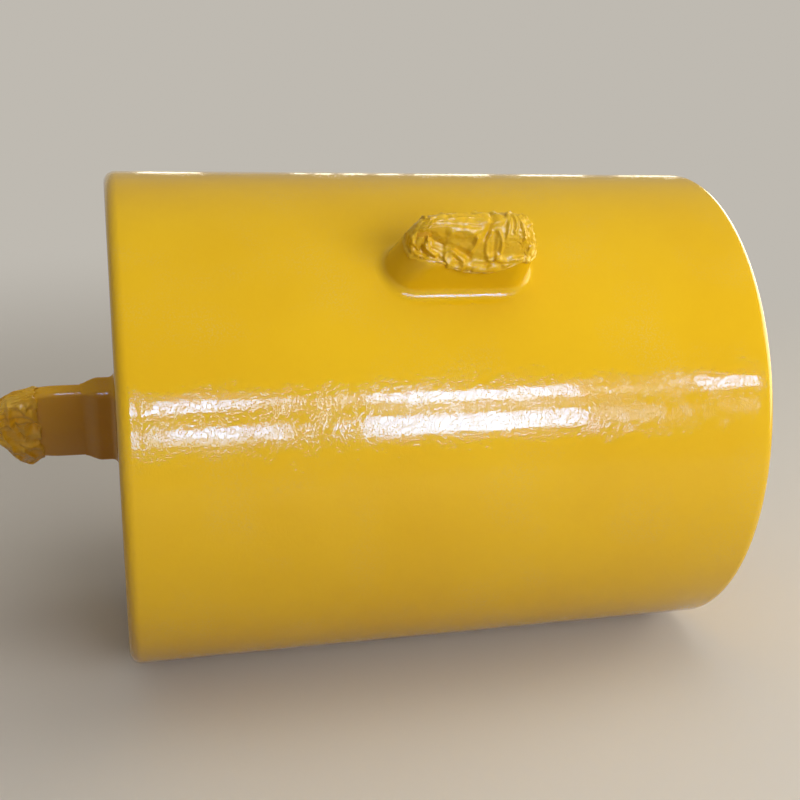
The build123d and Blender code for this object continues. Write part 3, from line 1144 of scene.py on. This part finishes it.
def make_floor():
    """Wide pale floor with a far rim, which keeps the buoy's shadow and glows evenly further off."""
    bm = bmesh.new()
    bmesh.ops.create_circle(bm, cap_ends=True, segments=96, radius=FLOOR_RADIUS)
    rim = bm.edges[:]
    raised = bmesh.ops.extrude_edge_only(bm, edges=rim)["geom"]
    wall_top = [item for item in raised if isinstance(item, bmesh.types.BMVert)]
    bmesh.ops.translate(bm, vec=(0, 0, RIM_HEIGHT), verts=wall_top)
    mesh = bpy.data.meshes.new("floor")
    bm.to_mesh(mesh)
    bm.free()
    floor = bpy.data.objects.new("floor", mesh)
    bpy.context.scene.collection.objects.link(floor)
    material, tree, shader = new_material("pale_floor")
    path = tree.nodes.new("ShaderNodeLightPath")
    seen = arithmetic(tree, "MAXIMUM", path.outputs["Is Camera Ray"], path.outputs["Is Glossy Ray"])
    shown = arithmetic(tree, "MAXIMUM", seen, path.outputs["Is Transmission Ray"])
    color = mixed_color(tree, shown, FLOOR_BOUNCE, FLOOR_SHOWN)
    tree.links.new(color, shader.inputs["Base Color"])
    shader.inputs["Roughness"].default_value = 0.9
    place = tree.nodes.new("ShaderNodeTexCoord").outputs["Object"]
    away = vector_math(tree, "LENGTH", place)
    far = add_node(
        tree,
        "ShaderNodeMapRange",
        {"Value": away.outputs["Value"], "From Min": GLOW_STARTS, "From Max": GLOW_FULL},
        interpolation_type="SMOOTHSTEP",
    )
    share = arithmetic(tree, "MULTIPLY", far.outputs["Result"], shown)
    glow = add_node(tree, "ShaderNodeEmission", {"Color": FAR_GLOW, "Strength": 1.0})
    parts = {0: share, 1: shader.outputs["BSDF"], 2: glow.outputs["Emission"]}
    blend = add_node(tree, "ShaderNodeMixShader", parts)
    outlet = tree.nodes["Material Output"]
    tree.links.new(blend.outputs["Shader"], outlet.inputs["Surface"])
    mesh.materials.append(material)


def make_world():
    """Soft grey surroundings."""
    world = bpy.data.worlds.new("soft_room")
    bpy.context.scene.world = world
    world.use_nodes = True
    background = world.node_tree.nodes["Background"]
    background.inputs["Color"].default_value = (0.84, 0.80, 0.74, 1)
    background.inputs["Strength"].default_value = 0.40


# Colours of the lamps: bluish in the front panes, so that the yellow gloss shows them white
DAYLIGHT = (0.25, 0.53, 1.0)
WARM_LIGHT = (1.0, 0.88, 0.62)


def add_panel(name, middle, size, facing, radiance, shows, color=(1, 1, 1)):
    """Soft rectangular lamp of a given brightness that either lights or mirrors in the gloss."""
    lamp = bpy.data.lights.new(name, "AREA")
    lamp.shape = "RECTANGLE"
    lamp.size, lamp.size_y = size
    lamp.energy = radiance * pi * size[0] * size[1]
    lamp.color = color
    panel = bpy.data.objects.new(name, lamp)
    panel.location = middle
    panel.rotation_euler = (Vector(facing) - Vector(middle)).to_track_quat("-Z", "Y").to_euler()
    panel.visible_diffuse = shows != "gloss"
    panel.visible_glossy = shows != "light"
    bpy.context.scene.collection.objects.link(panel)
    return panel


# Two rows of panes in front, and a faint one between them, each from x to x and z to z, with its
# brightness
PANE_DISTANCE = -7.0
PANES = (
    (-1.60, -0.92, 3.16, 3.82, 26.0),
    (-0.54, 0.04, 3.18, 3.82, 36.0),
    (0.06, 0.28, 3.32, 3.80, 34.0),
    (0.30, 0.52, 3.54, 3.80, 28.0),
    (0.80, 0.86, 3.22, 3.86, 22.0),
    (0.91, 0.96, 3.30, 3.86, 14.0),
    (1.14, 2.76, 3.22, 3.86, 36.0),
    (3.02, 3.56, 3.28, 3.72, 6.0),
    (3.90, 4.58, 3.32, 4.08, 30.0),
    (-1.60, -0.92, 1.36, 2.32, 26.0),
    (-0.53, -0.44, 1.40, 2.14, 14.0),
    (-0.38, 0.12, 1.70, 2.24, 36.0),
    (-0.38, 0.12, 1.36, 1.68, 13.0),
    (0.18, 0.31, 1.56, 2.34, 34.0),
    (0.34, 0.49, 1.42, 2.28, 15.0),
    (0.70, 0.76, 1.80, 2.24, 7.0),
    (1.04, 2.60, 1.42, 2.44, 36.0),
    (2.78, 3.38, 1.64, 2.42, 6.0),
    (4.06, 4.32, 1.78, 2.51, 7.0),
    (1.10, 2.66, 2.62, 3.06, 4.0),
)


# Low panes behind, as (x from, x to), which draw the broken bright line along the top
BACK_DISTANCE = 10.0
BACK_LEVEL = 1.75
BACK_HEIGHT = 0.7
BACK_PANES = (
    (-0.42, 0.04), (0.06, 0.17), (1.10, 1.21), (1.33, 1.47), (1.60, 1.81),
    (1.94, 2.17), (2.33, 3.11), (3.46, 4.18), (4.56, 5.33),
)


def make_lights():
    """Panes in front and behind for the gloss, with soft lamps in front, at the right and overhead."""
    for index, (left, right, low, high, radiance) in enumerate(PANES):
        middle = ((left + right) / 2, PANE_DISTANCE, (low + high) / 2)
        level = (middle[0], 0, middle[2])
        size = (right - left, high - low)
        add_panel(f"front_pane_{index}", middle, size, level, radiance, "gloss", DAYLIGHT)
    for index, (left, right) in enumerate(BACK_PANES):
        middle = ((left + right) / 2, BACK_DISTANCE, BACK_LEVEL)
        level = (middle[0], 0, middle[2])
        size = (right - left, BACK_HEIGHT)
        add_panel(f"back_pane_{index}", middle, size, level, 4.0, "gloss", WARM_LIGHT)
    add_panel("front_lamp", (2.9, -6.3, 2.5), (6.0, 3.0), (0.3, 0, 0.7), 6.4, "light")
    add_panel("right_lamp", (6.5, 0.5, 2.2), (5.0, 2.6), (0, 0, 0.8), 3.0, "light")
    add_panel("right_pane", (6.5, 3.2, 2.0), (11.4, 3.9), (0, 3.2, 2.0), 5.5, "gloss", WARM_LIGHT)
    add_panel("overhead_lamp", (1.2, -0.8, 6.0), (5.0, 4.0), (0.3, 0, 0.6), 1.4, "light")


# Camera as fitted to the photograph, which is a crop of a wider one
CAMERA_LENS = 57.6449
CAMERA_SHIFT = (-0.125, 0.05625)
CAMERA_SPOT = Vector((-0.74408634, -3.11744469, 1.68019532))
CAMERA_RIGHT = Vector((0.95697869, -0.28560925, 0.05117746))
CAMERA_UP = Vector((0.05299875, 0.34546688, 0.93693317))
CAMERA_BACK = Vector((-0.28527690, -0.89391274, 0.34574138))


def make_camera():
    """Camera at the photograph's viewing angle."""
    lens = bpy.data.cameras.new("camera")
    lens.sensor_width = 36
    lens.lens = CAMERA_LENS
    lens.shift_x, lens.shift_y = CAMERA_SHIFT
    camera = bpy.data.objects.new("camera", lens)
    camera.matrix_world = placed(CAMERA_SPOT, CAMERA_RIGHT, CAMERA_UP, CAMERA_BACK)
    bpy.context.scene.collection.objects.link(camera)
    bpy.context.scene.camera = camera


make_floor()
make_world()
make_lights()
make_camera()
bpy.context.scene.view_settings.view_transform = "Standard"
